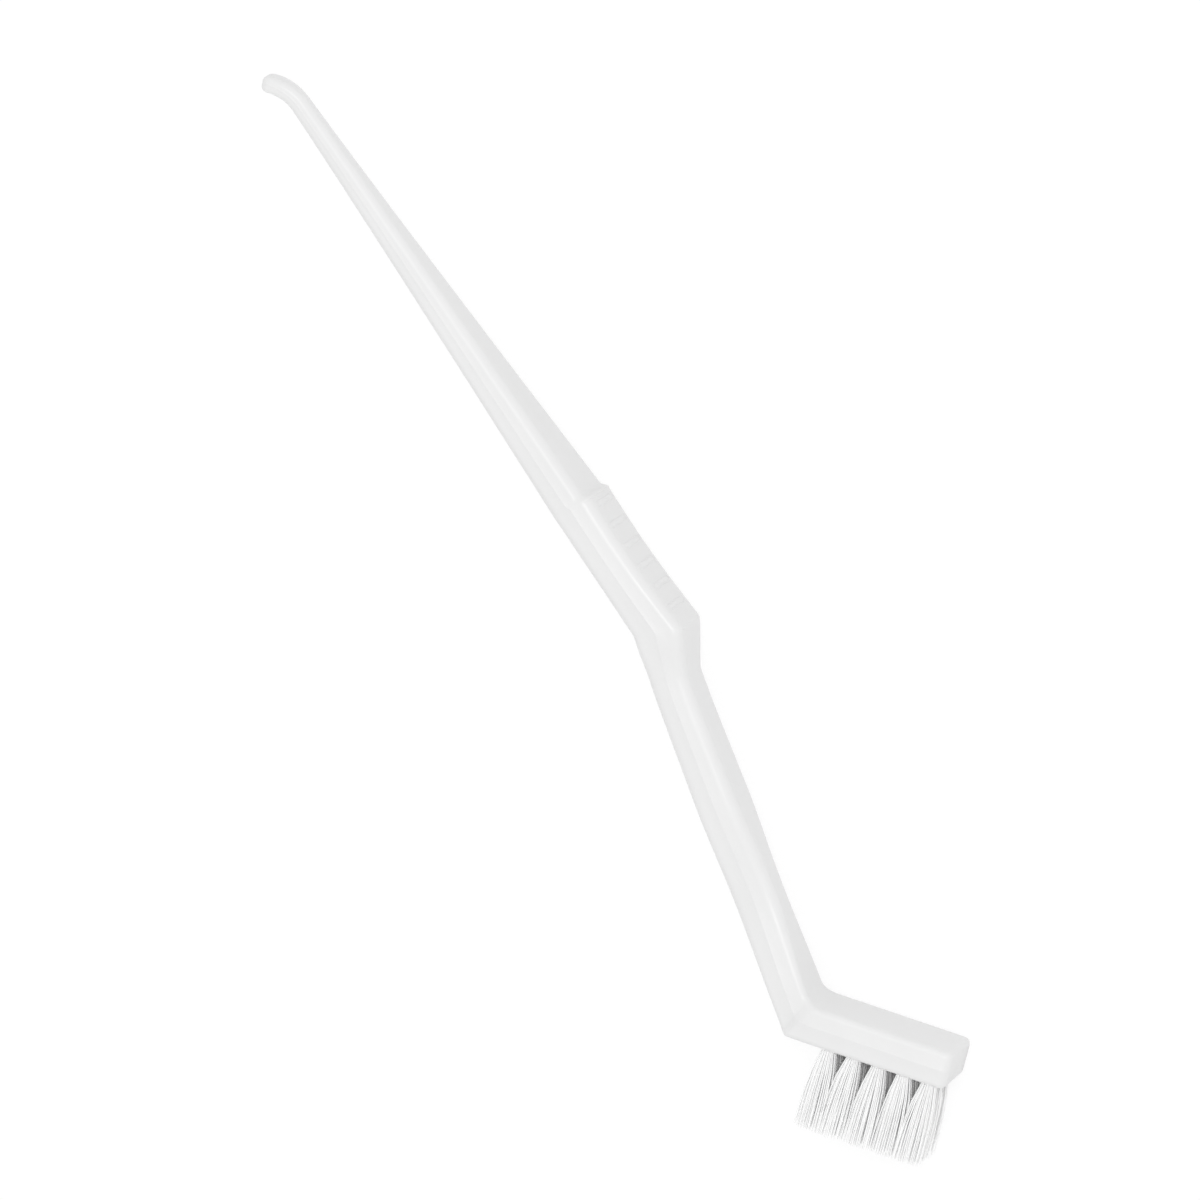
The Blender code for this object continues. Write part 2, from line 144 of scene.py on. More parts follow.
# Marks of the mould: draft of the sides and the ridge where its halves met
DRAFT_SHARE = 0.012
RIDGE_HEIGHT = 0.00003
RIDGE_HALF_WIDTH = 0.00007

# Tuft holes, and the depth of the anchors in them
TUFT_COLUMNS = 5
TUFT_ROWS = 3
ANCHOR_DEPTH = 0.00205
HOLE_RADIUS = 0.001116
HOLE_DEPTH = 0.00345
HOLE_CHAMFER = 0.00012
HOLE_SIDES = 40
HOLE_OVERRUN = 0.0003

# Filaments: each is folded under its anchor and has two ends
FOLDED_FILAMENTS = 45
FILAMENT_DIAMETER = 0.00019
FREE_LENGTH = 0.0128
LENGTH_SCATTER = 0.00018
BUNDLE_RADIUS = 0.00101
ANCHOR_CLEARANCE = 0.00022
FOLD_LEVEL = 0.0028
FOLD_THICKNESS = 0.00045
GOLDEN_ANGLE = math.pi * (3 - math.sqrt(5))

# Flare of a tuft from its hole to its tips, wider along the head than across it
TIP_HALF_LENGTH = 0.0023
TIP_HALF_WIDTH = 0.0017
FLARE_POWER = 3.0
OUTER_LEAN = 0.0007
COLUMN_FAN = 0.0003
ROW_FAN = 0.0003
STRAY = 0.00025
FIRST_SEED = 40

# Steps of a filament: those of the fold and those of the rise, on each side
FILAMENT_SIDES = 5
FOLD_STEPS = 2
RISING_STEPS = 5
FOLD_SHARE = FOLD_STEPS / (FOLD_STEPS + RISING_STEPS)
FILAMENT_POINTS = 2 * (FOLD_STEPS + RISING_STEPS) + 1
FILAMENT_SMOOTH_ANGLE = math.radians(75)

# Steps of the loft
EDGE_STEPS = 8
FACE_STEPS = 16
ARC_STEPS = 10
END_STEPS = 10
PICK_STEPS = 20
SHAFT_STEPS = 70
PAD_RAMP_STEPS = 8
GRIP_STEPS = 380
RAMP_STEPS = 14
NECK_STEPS = 60
BEND_RUN_STEPS = 6
HEAD_STEPS = 26
END_TURN = math.radians(75)
FULLEST_EDGE_SHARE = 0.48
SMOOTH_ANGLE = math.radians(35)

# Patterns: the part of a noise that most of its values lie in
NOISE_LOW = 0.3
NOISE_HIGH = 0.7

# White polypropylene, with flow marks along the brush and the grain of its mould
PLASTIC_TONES = (0.75, 0.79)
PLASTIC_ROUGHNESS = (0.3, 0.42)
PLASTIC_IOR = 1.49
PLASTIC_HAZE = 0.15
PLASTIC_HAZE_DEPTH = 0.0008
FLOW_STRETCH = (0.25, 1.0, 1.0)
FLOW_SCALE = 260.0
FLOW_DETAIL = 3.0
FLOW_STRENGTH = 0.3
FLOW_RELIEF = 0.00015
GRAIN_SCALE = 4200.0
GRAIN_DETAIL = 2.0
GRAIN_STRENGTH = 0.25
GRAIN_RELIEF = 0.00003

# White nylon, whose tone wanders a little from strand to strand
NYLON_TONES = (0.975, 0.995)
NYLON_ROUGHNESS = (0.26, 0.4)
NYLON_IOR = 1.53
NYLON_SCALE = 1500.0
NYLON_DETAIL = 1.0

# Flat wire, with the fine lines that drawing leaves along it
WIRE_DARK = (0.55, 0.54, 0.5, 1.0)
WIRE_PALE = (0.68, 0.67, 0.63, 1.0)
WIRE_ROUGHNESS = (0.25, 0.45)
LINE_STRETCH = (0.1, 0.1, 1.0)
LINE_SCALE = 9000.0
LINE_DETAIL = 2.0
LINE_STRENGTH = 0.3
LINE_RELIEF = 0.00001


class Section(NamedTuple):
    """A cut through the handle: its front and back points, width and edge radius."""

    front: Vector
    back: Vector
    width: float
    edge: float


def along(angle):
    """Unit vector that runs toward the head at an angle."""
    return Vector((math.cos(angle), math.sin(angle)))


def backward(angle):
    """Unit vector square to that, toward the back of the brush."""
    return Vector((-math.sin(angle), math.cos(angle)))


def mix(start, end, share):
    """Value at a share of the way from start to end."""
    return start + (end - start) * share


def ease(share):
    """Share that starts and stops gently, held between 0 and 1."""
    held = min(max(share, 0), 1)
    return held * held * (3 - 2 * held)


def square_section(centre, angle, thickness, width, edge):
    """Section square to an axis that passes its centre at an angle."""
    half = backward(angle) * (thickness / 2)
    return Section(centre - half, centre + half, width, edge)


def meeting_point(point_a, angle_a, point_b, angle_b):
    """Point where two lines cross, each given by a point and an angle."""
    line = along(angle_a)
    normal = backward(angle_b)
    return point_a + line * ((point_b - point_a).dot(normal) / line.dot(normal))


def fillet(before, corner, after, radius):
    """Points along the arc that rounds a corner of an outline."""
    to_before = before - corner
    to_after = after - corner
    half = to_before.angle(to_after) / 2
    setback = min(radius / math.tan(half), to_before.length, to_after.length)
    start = corner + to_before.normalized() * setback
    middle = (to_before.normalized() + to_after.normalized()).normalized()
    centre = corner + middle * (setback / math.cos(half))
    spoke = start - centre
    sweep = math.pi - 2 * half
    if spoke.x * middle.y - spoke.y * middle.x > 0:
        sweep = -sweep
    turns = [sweep * step / ARC_STEPS for step in range(ARC_STEPS + 1)]
    return [centre + Matrix.Rotation(turn, 2) @ spoke for turn in turns]


def run(start, end, steps):
    """Evenly spaced points from start to end, without either."""
    return [mix(start, end, step / steps) for step in range(1, steps)]


def rounded_end(section, outward, corner):
    """Sections that close a flat bar whose end is rounded in both views."""
    across = (section.back - section.front).normalized()
    edge = section.edge
    sections = []
    for step in range(1, END_STEPS + 1):
        turn = END_TURN * step / END_STEPS
        reach = corner * math.sin(turn)
        left = corner * math.sin(END_TURN) - reach
        bite = max(edge - left, 0) * math.sin(END_TURN)
        inset = edge - math.sqrt(edge * edge - bite * bite)
        front = section.front + outward * reach + across * inset
        back = section.back + outward * reach - across * inset
        width = section.width - 2 * corner * (1 - math.cos(turn))
        sections.append(Section(front, back, width, edge - inset))
    return sections


def pick_sections():
    """From the free tip of the pick to the shaft, round the bend."""
    sections = []
    root = Vector((-GRIP_LENGTH - SHAFT_LENGTH, 0))
    centre = root - Vector((0, PICK_RADIUS))
    for step in range(PICK_STEPS):
        share = 1 - step / PICK_STEPS
        angle = math.radians(PICK_ANGLE) * share
        section = square_section(
            centre + backward(angle) * PICK_RADIUS,
            angle,
            mix(SHAFT_TIP_THICKNESS, PICK_TIP_THICKNESS, share),
            mix(SHAFT_TIP_WIDTH, PICK_TIP_WIDTH, ease(share)),
            mix(SHAFT_TIP_EDGE, PICK_TIP_EDGE, share),
        )
        sections.append(section)
    end = rounded_end(sections[0], -along(math.radians(PICK_ANGLE)), PICK_TIP_CORNER)
    return end[::-1] + sections


def shaft_sections(head_width):
    """From the pick to the start of the thumb pad."""
    sections = []
    for step in range(SHAFT_STEPS + 1):
        share = step / SHAFT_STEPS
        section = square_section(
            Vector((-GRIP_LENGTH - SHAFT_LENGTH * (1 - share), 0)),
            0,
            mix(SHAFT_TIP_THICKNESS, GRIP_THICKNESS, share**THICKNESS_TAPER),
            mix(SHAFT_TIP_WIDTH, head_width, share**WIDTH_TAPER),
            mix(SHAFT_TIP_EDGE, GRIP_EDGE, share),
        )
        sections.append(section)
    return sections


def neck_centre(distance):
    """Point and angle of the neck's axis at a distance from the front bend."""
    top = math.radians(NECK_TOP_ANGLE)
    straight = math.radians(NECK_ANGLE)
    bent = min(distance, NECK_CURVE_LENGTH)
    angle = mix(top, straight, bent / NECK_CURVE_LENGTH)
    point = along(mix(top, angle, 0.5)) * bent + along(straight) * (distance - bent)
    return point, angle


def neck_section(distance):
    """Section of the neck at a distance from the front bend."""
    share = (distance - RAMP_FOOT) / (NECK_LENGTH - RAMP_FOOT)
    narrowing = (share - NECK_NARROW_SHARE) / (NECK_WAIST_SHARE - NECK_NARROW_SHARE)
    flare = (share - NECK_WAIST_SHARE) / (1 - NECK_WAIST_SHARE)
    width = mix(NECK_TOP_WIDTH, NECK_WAIST_WIDTH, ease(narrowing))
    width = mix(width, NECK_FOOT_WIDTH, ease(flare))
    thickness = mix(NECK_TOP_THICKNESS, NECK_WAIST_THICKNESS, ease(share / NECK_WAIST_SHARE))
    thickness = mix(thickness, NECK_FOOT_THICKNESS, ease(flare))
    point, angle = neck_centre(distance)
    return square_section(point, angle, thickness, width, mix(NECK_EDGE, HEAD_EDGE, ease(flare)))


def pad_surface(place):
    """Height of the dished thumb pad at a place along the grip."""
    share = (place + GRIP_LENGTH) / (GRIP_LENGTH + SHOULDER_LEAD)
    return GRIP_THICKNESS / 2 + PAD_HEIGHT - PAD_DISH * math.sin(math.pi * share)


def grip_sections(head_width):
    """The thumb pad, its shoulder and the ramp down to the neck."""
    foot = neck_section(RAMP_FOOT)
    half = GRIP_THICKNESS / 2
    front_start = Vector((-GRIP_LENGTH, -half))
    back_start = Vector((PAD_RAMP - GRIP_LENGTH, half + PAD_HEIGHT))
    slope = -math.atan(GRIP_BELLY / GRIP_LENGTH)
    front_bend = meeting_point(front_start, slope, foot.front, math.radians(NECK_TOP_ANGLE))
    shoulder = Vector((front_bend.x + SHOULDER_LEAD, back_start.y))
    fronts = fillet(front_start, front_bend, foot.front, FRONT_BEND_RADIUS)
    backs = fillet(back_start, shoulder, foot.back, SHOULDER_RADIUS)
    rising_fronts = []
    rising_backs = []
    for step in range(1, PAD_RAMP_STEPS + 1):
        share = step / PAD_RAMP_STEPS
        rise = half + PAD_HEIGHT * ease(share)
        rising_fronts.append(front_start + along(slope) * (PAD_RAMP * share))
        rising_backs.append(Vector((PAD_RAMP * share - GRIP_LENGTH, rise)))
    pad_fronts = run(rising_fronts[-1], fronts[0], GRIP_STEPS)
    pad_places = [point.x for point in run(back_start, backs[0], GRIP_STEPS)]
    pad_backs = [Vector((place, pad_surface(place))) for place in pad_places]
    pairs = zip(rising_fronts + pad_fronts + fronts, rising_backs + pad_backs + backs)
    sections = [Section(*pair, head_width, GRIP_EDGE) for pair in pairs]
    ramp = zip(run(fronts[-1], foot.front, RAMP_STEPS), run(backs[-1], foot.back, RAMP_STEPS))
    for step, pair in enumerate(ramp, 1):
        share = ease(step / RAMP_STEPS)
        width = mix(head_width, foot.width, share)
        sections.append(Section(*pair, width, mix(GRIP_EDGE, NECK_EDGE, share)))
    return sections


def neck_sections():
    """From the foot of the ramp to the bend of the head."""
    shares = [step / NECK_STEPS for step in range(NECK_STEPS + 1)]
    return [neck_section(mix(RAMP_FOOT, NECK_LENGTH, share)) for share in shares]


def head_sections(head_width):
    """Round the bend from the neck, and along the head to its free end."""
    neck_angle = math.radians(NECK_ANGLE)
    head_angle = math.radians(HEAD_ANGLE)
    neck_end = neck_section(NECK_LENGTH)
    pivot = neck_end.back + backward(neck_angle) * BEND_RADIUS
    foot_back = pivot - backward(head_angle) * BEND_RADIUS
    foot_front = foot_back - backward(head_angle) * HEAD_THICKNESS
    heel = meeting_point(neck_end.front, neck_angle, foot_front, head_angle)
    heel_arc = fillet(neck_end.front, heel, foot_front, HEEL_RADIUS)
    fronts = run(neck_end.front, heel_arc[0], BEND_RUN_STEPS)
    fronts += heel_arc
    fronts += run(heel_arc[-1], foot_front, BEND_RUN_STEPS)
    sections = []
    for index, front in enumerate(fronts, 1):
        angle = mix(neck_angle, head_angle, index / (len(fronts) + 1))
        back = pivot - backward(angle) * BEND_RADIUS
        width = mix(NECK_FOOT_WIDTH, head_width, ease(index / len(fronts)))
        sections.append(Section(front, back, width, HEAD_EDGE))
    outward = along(head_angle)
    straight = HEAD_LENGTH - (foot_front - heel).length - HEAD_CORNER * math.sin(END_TURN)
    for step in range(HEAD_STEPS + 1):
        shift = outward * (straight * step / HEAD_STEPS)
        sections.append(Section(foot_front + shift, foot_back + shift, head_width, HEAD_EDGE))
    return sections + rounded_end(sections[-1], outward, HEAD_CORNER)


def ring_points(section):
    """Points round a section: rounded edges, flat faces and a fine ridge along both sides."""
    across = section.back - section.front
    depth = across.length
    across.normalize()
    radius = min(section.edge, FULLEST_EDGE_SHARE * min(depth, section.width))
    half_width = section.width / 2 - RIDGE_HEIGHT
    side = half_width - radius
    ridge = (
        (depth / 2 + RIDGE_HALF_WIDTH, half_width),
        (depth / 2, half_width + RIDGE_HEIGHT),
        (depth / 2 - RIDGE_HALF_WIDTH, half_width),
    )
    face = [mix(side, -side, step / FACE_STEPS) for step in range(1, FACE_STEPS)]
    flats = (
        ridge,
        [(0, height) for height in face],
        [(rise, -height) for rise, height in reversed(ridge)],
        [(depth, -height) for height in face],
    )
    centres = ((depth - radius, side), (radius, side), (radius, -side), (depth - radius, -side))
    places = []
    for quarter, (rise, height) in enumerate(centres):
        for step in range(EDGE_STEPS + 1):
            turn = math.radians(90) * (quarter + step / EDGE_STEPS)
            places.append((rise + radius * math.cos(turn), height + radius * math.sin(turn)))
        places += flats[quarter]
    points = []
    for rise, height in places:
        draft = 1 - DRAFT_SHARE * abs(2 * rise / depth - 1)
        point = (section.front + across * rise).to_3d() + Vector((0, 0, height * draft))
        points.append(point)
    return points


def loft(sections):
    """Closed skin over a row of sections."""
    skin = bmesh.new()
    rings = [[skin.verts.new(point) for point in ring_points(section)] for section in sections]
    count = len(rings[0])
    for ring, following in zip(rings, rings[1:]):
        for index in range(count):
            after = (index + 1) % count
            skin.faces.new((ring[index], ring[after], following[after], following[index]))
    skin.faces.new(rings[0])
    skin.faces.new(rings[-1])
    bmesh.ops.recalc_face_normals(skin, faces=skin.faces)
    return skin


class NodeSheet:
    """A node tree in the making, with short ways to add nodes and link them."""

    def __init__(self, tree):
        self.tree = tree

    def connect(self, socket, source):
        """Links a socket to another, or sets it to a plain value."""
        if isinstance(source, bpy.types.NodeSocket):
            self.tree.links.new(source, socket)
        else:
            socket.default_value = source

    def add(self, kind, inputs, **settings):
        """Adds a node, fills its inputs by name or number and returns it."""
        node = self.tree.nodes.new(kind)
        for name, value in settings.items():
            setattr(node, name, value)
        for name, source in inputs.items():
            self.connect(node.inputs[name], source)
        return node

    def math(self, operation, *values):
        node = self.add("ShaderNodeMath", dict(enumerate(values)), operation=operation)
        return node.outputs[0]

    def plus(self, first, second):
        return self.math("ADD", first, second)

    def minus(self, first, second):
        return self.math("SUBTRACT", first, second)

    def times(self, first, second):
        return self.math("MULTIPLY", first, second)

    def over(self, first, second):
        return self.math("DIVIDE", first, second)

    def at_least(self, value, floor):
        return self.math("MAXIMUM", value, floor)

    def at_most(self, value, ceiling):
        return self.math("MINIMUM", value, ceiling)

    def eased(self, value):
        """Smooth step of a value between 0 and 1."""
        settings = {"interpolation_type": "SMOOTHSTEP"}
        node = self.add("ShaderNodeMapRange", {"Value": value}, **settings)
        return node.outputs["Result"]

    def vector_math(self, operation, *values):
        node = self.add("ShaderNodeVectorMath", dict(enumerate(values)), operation=operation)
        return node.outputs[0]

    def scaled(self, vector, factor):
        inputs = {0: vector, "Scale": factor}
        return self.add("ShaderNodeVectorMath", inputs, operation="SCALE").outputs[0]

    def point(self, **parts):
        """Vector put together from some of X, Y and Z."""
        return self.add("ShaderNodeCombineXYZ", parts).outputs[0]

    def parts(self, vector):
        return self.add("ShaderNodeSeparateXYZ", {0: vector}).outputs


class ShapeSheet(NodeSheet):
    """Geometry Nodes tree with named inputs and one shape as its result."""

    def __init__(self, name):
        super().__init__(bpy.data.node_groups.new(name, "GeometryNodeTree"))
        self.tree.is_modifier = True
        self.entry = self.tree.nodes.new("NodeGroupInput")
        result = {"in_out": "OUTPUT", "socket_type": "NodeSocketGeometry"}
        self.tree.interface.new_socket("Shape", **result)

    def input(self, name, kind="Float"):
        settings = {"in_out": "INPUT", "socket_type": "NodeSocket" + kind}
        self.tree.interface.new_socket(name, **settings)
        return self.entry.outputs[name]

    def whole_math(self, operation, first, second):
        inputs = {0: first, 1: second}
        return self.add("FunctionNodeIntegerMath", inputs, operation=operation).outputs[0]

    def random(self, kind, low, high, label, seed):
        """Value between two others that is the same wherever the label and the seed are."""
        node = self.add("FunctionNodeRandomValue", {}, data_type=kind)
        sockets = [socket for socket in node.inputs if socket.enabled]
        for socket, source in zip(sockets, (low, high, label, seed)):
            self.connect(socket, source)
        return next(socket for socket in node.outputs if socket.enabled)

    def moved(self, shape, place, **turn):
        """Shape shifted to a place, and turned first where a rotation is given."""
        inputs = {"Geometry": shape, "Translation": place, **turn}
        return self.add("GeometryNodeTransform", inputs).outputs[0]

    def realized(self, shape):
        return self.add("GeometryNodeRealizeInstances", {"Geometry": shape}).outputs[0]

    def finish(self, shape, material):
        """Ends the tree with real geometry that wears one material."""
        inputs = {"Geometry": self.realized(shape), "Material": material}
        dressed = self.add("GeometryNodeSetMaterial", inputs)
        result = self.tree.nodes.new("NodeGroupOutput")
        self.connect(result.inputs["Shape"], dressed.outputs[0])

    def apply_to(self, item, values):
        """Runs the tree on an object with the given inputs."""
        modifier = item.modifiers.new(self.tree.name, "NODES")
        modifier.node_group = self.tree
        for socket in self.tree.interface.items_tree:
            if socket.name in values:
                modifier[socket.identifier] = values[socket.name]


def thumb_rib_tree():
    """Raises low round bars in the skin of the thumb pad."""
    sheet = ShapeSheet("thumb_ribs")
    skin = sheet.input("Skin", "Geometry")
    first = sheet.input("First Rib")
    pitch = sheet.input("Rib Pitch")
    count = sheet.input("Rib Count", "Int")
    radius = sheet.input("Rib Radius")
    height = sheet.input("Height")
    reach = sheet.input("Reach")
    slope = sheet.input("End Slope")
    middle = sheet.input("Middle")
    least_backward = sheet.input("Least Backward")
    material = sheet.input("Material", "Material")
    place = sheet.parts(sheet.add("GeometryNodeInputPosition", {}).outputs[0])
    facing = sheet.parts(sheet.add("GeometryNodeInputNormal", {}).outputs[0])

    # Distance along the brush from the nearest rib
    travelled = sheet.minus(place["X"], first)
    nearest = sheet.math("ROUND", sheet.over(travelled, pitch))
    nearest = sheet.at_least(sheet.at_most(nearest, sheet.minus(count, 1.0)), 0.0)
    distance = sheet.math("ABSOLUTE", sheet.minus(travelled, sheet.times(nearest, pitch)))

    # The part of a round bar that stands above the pad, fading out at its ends
    chord = sheet.minus(sheet.times(radius, radius), sheet.times(distance, distance))
    arc = sheet.math("SQRT", sheet.at_least(chord, 0.0))
    crown = sheet.at_least(sheet.minus(arc, sheet.minus(radius, height)), 0.0)
    sideways = sheet.math("ABSOLUTE", sheet.minus(place["Z"], middle))
    end = sheet.eased(sheet.over(sheet.minus(reach, sideways), slope))
    offset = sheet.point(Y=sheet.times(crown, end))
    on_back = sheet.math("GREATER_THAN", facing["Y"], least_backward)
    inputs = {"Geometry": skin, "Selection": on_back, "Offset": offset}
    raised = sheet.add("GeometryNodeSetPosition", inputs)
    sheet.finish(raised.outputs[0], material)
    return sheet


def tuft_hole_tree():
    """Bores a grid of blind holes with chamfered mouths."""
    sheet = ShapeSheet("tuft_holes")
    skin = sheet.input("Skin", "Geometry")
    columns = sheet.input("Columns", "Int")
    rows = sheet.input("Rows", "Int")
    field_length = sheet.input("Field Length")
    field_width = sheet.input("Field Width")
    centre = sheet.input("Field Centre", "Vector")
    turn = sheet.input("Field Turn", "Rotation")
    radius = sheet.input("Radius")
    depth = sheet.input("Depth")
    chamfer = sheet.input("Chamfer")
    overrun = sheet.input("Overrun")
    sides = sheet.input("Sides", "Int")
    material = sheet.input("Material", "Material")
    field = sheet.add(
        "GeometryNodeMeshGrid",
        {
            "Size X": field_length,
            "Size Y": field_width,
            "Vertices X": columns,
            "Vertices Y": rows,
        },
    )
    bore = sheet.add(
        "GeometryNodeMeshCylinder",
        {"Vertices": sides, "Radius": radius, "Depth": sheet.plus(depth, overrun)},
    )
    bore_place = sheet.point(Z=sheet.times(sheet.minus(overrun, depth), 0.5))
    mouth = sheet.add(
        "GeometryNodeMeshCone",
        {
            "Vertices": sides,
            "Radius Top": sheet.plus(sheet.plus(radius, chamfer), overrun),
            "Radius Bottom": sheet.minus(radius, overrun),
            "Depth": sheet.plus(chamfer, sheet.times(overrun, 2.0)),
        },
    )
    mouth_place = sheet.point(Z=sheet.times(sheet.plus(chamfer, overrun), -1.0))
    cutters = (
        sheet.moved(bore.outputs["Mesh"], bore_place),
        sheet.moved(mouth.outputs["Mesh"], mouth_place),
    )
    for cutter in cutters:
        inputs = {"Points": field.outputs["Mesh"], "Instance": cutter}
        copies = sheet.add("GeometryNodeInstanceOnPoints", inputs).outputs[0]
        placed = sheet.realized(sheet.moved(copies, centre, Rotation=turn))
        inputs = {"Mesh 1": skin, "Mesh 2": placed}
        settings = {"operation": "DIFFERENCE", "solver": "EXACT"}
        skin = sheet.add("GeometryNodeMeshBoolean", inputs, **settings).outputs["Mesh"]
    sheet.finish(skin, material)
    return sheet


def tuft_tree():
    """Filaments folded round an anchor, with the mouth of the hole at the origin and z outward."""
    sheet = ShapeSheet("nylon_tuft")
    folds = sheet.input("Folded Filaments", "Int")
    points_each = sheet.input("Points", "Int")
    sides = sheet.input("Sides", "Int")
    diameter = sheet.input("Diameter")
    bundle = sheet.input("Bundle Radius")
    clearance = sheet.input("Anchor Clearance")
    length = sheet.input("Free Length")
    scatter = sheet.input("Length Scatter")
    fold_level = sheet.input("Fold Level")
    fold_thickness = sheet.input("Fold Thickness")
    tip_spread = sheet.input("Tip Spread", "Vector")
    flare_power = sheet.input("Flare Power")
    lean = sheet.input("Lean", "Vector")
    stray = sheet.input("Stray")
    seed = sheet.input("Seed", "Int")
    material = sheet.input("Material", "Material")
    trim_seed = sheet.whole_math("ADD", seed, 1)
    stray_seed = sheet.whole_math("ADD", seed, 2)

    # One point for each step of each filament
    index = sheet.add("GeometryNodeInputIndex", {}).outputs[0]
    total = sheet.whole_math("MULTIPLY", folds, points_each)
    cloud = sheet.add("GeometryNodePoints", {"Count": total})
    filament = sheet.whole_math("DIVIDE_FLOOR", index, points_each)
    step = sheet.whole_math("MODULO", index, points_each)

    # A filament comes down one side of the anchor, turns under it and climbs the other
    travel = sheet.over(step, sheet.whole_math("SUBTRACT", points_each, 1))
    swing = sheet.minus(sheet.times(travel, 2.0), 1.0)
    side = sheet.math("SIGN", swing)
    climb = sheet.math("ABSOLUTE", swing)
    fold_turn = sheet.times(sheet.at_most(sheet.over(climb, FOLD_SHARE), 1.0), math.pi / 2)
    rising = sheet.over(sheet.at_least(sheet.minus(climb, FOLD_SHARE), 0.0), 1 - FOLD_SHARE)

    # The filaments fill the hole evenly on both sides, clear of the anchor
    turn = sheet.times(filament, GOLDEN_ANGLE)
    packed = sheet.math("SQRT", sheet.over(sheet.plus(filament, 0.5), folds))
    root_x = sheet.times(sheet.times(packed, bundle), sheet.math("COSINE", turn))
    share_y = sheet.times(packed, sheet.math("ABSOLUTE", sheet.math("SINE", turn)))
    away = sheet.plus(clearance, sheet.times(share_y, sheet.minus(bundle, clearance)))
    root_y = sheet.times(sheet.times(away, side), sheet.math("SINE", fold_turn))
    bow = sheet.times(sheet.math("COSINE", fold_turn), fold_thickness)
    bow = sheet.times(bow, sheet.over(away, bundle))

    # Each end is trimmed to a length of its own
    far_side = sheet.math("GREATER_THAN", side, 0.0)
    end = sheet.whole_math("ADD", sheet.whole_math("MULTIPLY", filament, 2), far_side)
    trim = sheet.random("FLOAT", sheet.times(scatter, -1.0), 0.0, end, trim_seed)
    rise = sheet.plus(sheet.plus(length, trim), fold_level)
    height = sheet.minus(sheet.times(rising, rise), sheet.plus(fold_level, bow))
    free = sheet.over(sheet.at_least(height, 0.0), length)

    # Out of the hole a filament flares with its tuft, leans with its row and column, and strays
    root = sheet.point(X=root_x, Y=root_y)
    wander = sheet.random("FLOAT_VECTOR", (-1.0, -1.0, 0.0), (1.0, 1.0, 0.0), end, stray_seed)
    bend = sheet.scaled(sheet.scaled(wander, stray), free)
    lean_out = sheet.vector_math("ADD", sheet.vector_math("MULTIPLY", root, tip_spread), lean)
    left = sheet.math("POWER", sheet.minus(1.0, free), flare_power)
    drift = sheet.scaled(sheet.vector_math("ADD", lean_out, bend), sheet.minus(1.0, left))
    position = sheet.vector_math("ADD", root, drift)
    position = sheet.vector_math("ADD", position, sheet.point(Z=height))

    inputs = {"Geometry": cloud.outputs[0], "Position": position}
    placed = sheet.add("GeometryNodeSetPosition", inputs)
    inputs = {"Points": placed.outputs[0], "Curve Group ID": filament}
    lines = sheet.add("GeometryNodePointsToCurves", inputs)
    inputs = {"Resolution": sides, "Radius": sheet.times(diameter, 0.5)}
    profile = sheet.add("GeometryNodeCurvePrimitiveCircle", inputs)
    tubes = sheet.add(
        "GeometryNodeCurveToMesh",
        {"Curve": lines.outputs[0], "Profile Curve": profile.outputs[0], "Fill Caps": True},
    )
    sheet.finish(tubes.outputs[0], material)
    return sheet


def grey(tone):
    """Neutral colour, with its alpha."""
    return (tone, tone, tone, 1.0)


def new_material(name):
    """Material, its principled shader, its node sheet and the place on the piece."""
    material = bpy.data.materials.new(name)
    material.use_nodes = True
    shader = material.node_tree.nodes["Principled BSDF"]
    sheet = NodeSheet(material.node_tree)
    place = sheet.add("ShaderNodeTexCoord", {}).outputs["Object"]
    return material, shader, sheet, place


def stretched(sheet, place, stretch):
    """Place on the piece with each axis scaled, which draws a pattern out along it."""
    return sheet.add("ShaderNodeMapping", {"Vector": place, "Scale": stretch}).outputs[0]


def noise(sheet, place, scale, detail):
    node = sheet.add("ShaderNodeTexNoise", {"Vector": place, "Scale": scale, "Detail": detail})
    return node.outputs["Fac"]


def between(sheet, share, low, high):
    """Number that runs from low to high as the share runs over the middle of a noise."""
    node = sheet.add(
        "ShaderNodeMapRange",
        {
            "Value": share,
            "From Min": NOISE_LOW,
            "From Max": NOISE_HIGH,
            "To Min": low,
            "To Max": high,
        },
    )
    return node.outputs["Result"]


def tint(sheet, share, low, high):
    """Colour between two others."""
    inputs = {"Factor": share, "A": low, "B": high}
    return sheet.add("ShaderNodeMix", inputs, data_type="RGBA").outputs["Result"]


def relief(sheet, pattern, strength, depth, **under):
    """Normal that a pattern bumps, over an earlier one where Normal is given."""
    inputs = {"Strength": strength, "Distance": depth, "Height": pattern, **under}
    return sheet.add("ShaderNodeBump", inputs).outputs[0]


def moulded_plastic():
    """Satin white polypropylene with faint flow marks and the grain of its mould."""
    material, shader, sheet, place = new_material("satin_white_plastic")
    flow = noise(sheet, stretched(sheet, place, FLOW_STRETCH), FLOW_SCALE, FLOW_DETAIL)
    grain = noise(sheet, place, GRAIN_SCALE, GRAIN_DETAIL)
    dark, pale = PLASTIC_TONES
    grained = relief(sheet, grain, GRAIN_STRENGTH, GRAIN_RELIEF)
    normal = relief(sheet, flow, FLOW_STRENGTH, FLOW_RELIEF, Normal=grained)
    sheet.connect(shader.inputs["Base Color"], tint(sheet, flow, grey(dark), grey(pale)))
    sheet.connect(shader.inputs["Roughness"], between(sheet, flow, *PLASTIC_ROUGHNESS))
    sheet.connect(shader.inputs["Normal"], normal)
    shader.inputs["Subsurface Weight"].default_value = PLASTIC_HAZE
    shader.inputs["Subsurface Radius"].default_value = (1.0, 1.0, 1.0)
    shader.inputs["Subsurface Scale"].default_value = PLASTIC_HAZE_DEPTH
    shader.inputs["IOR"].default_value = PLASTIC_IOR
    return material


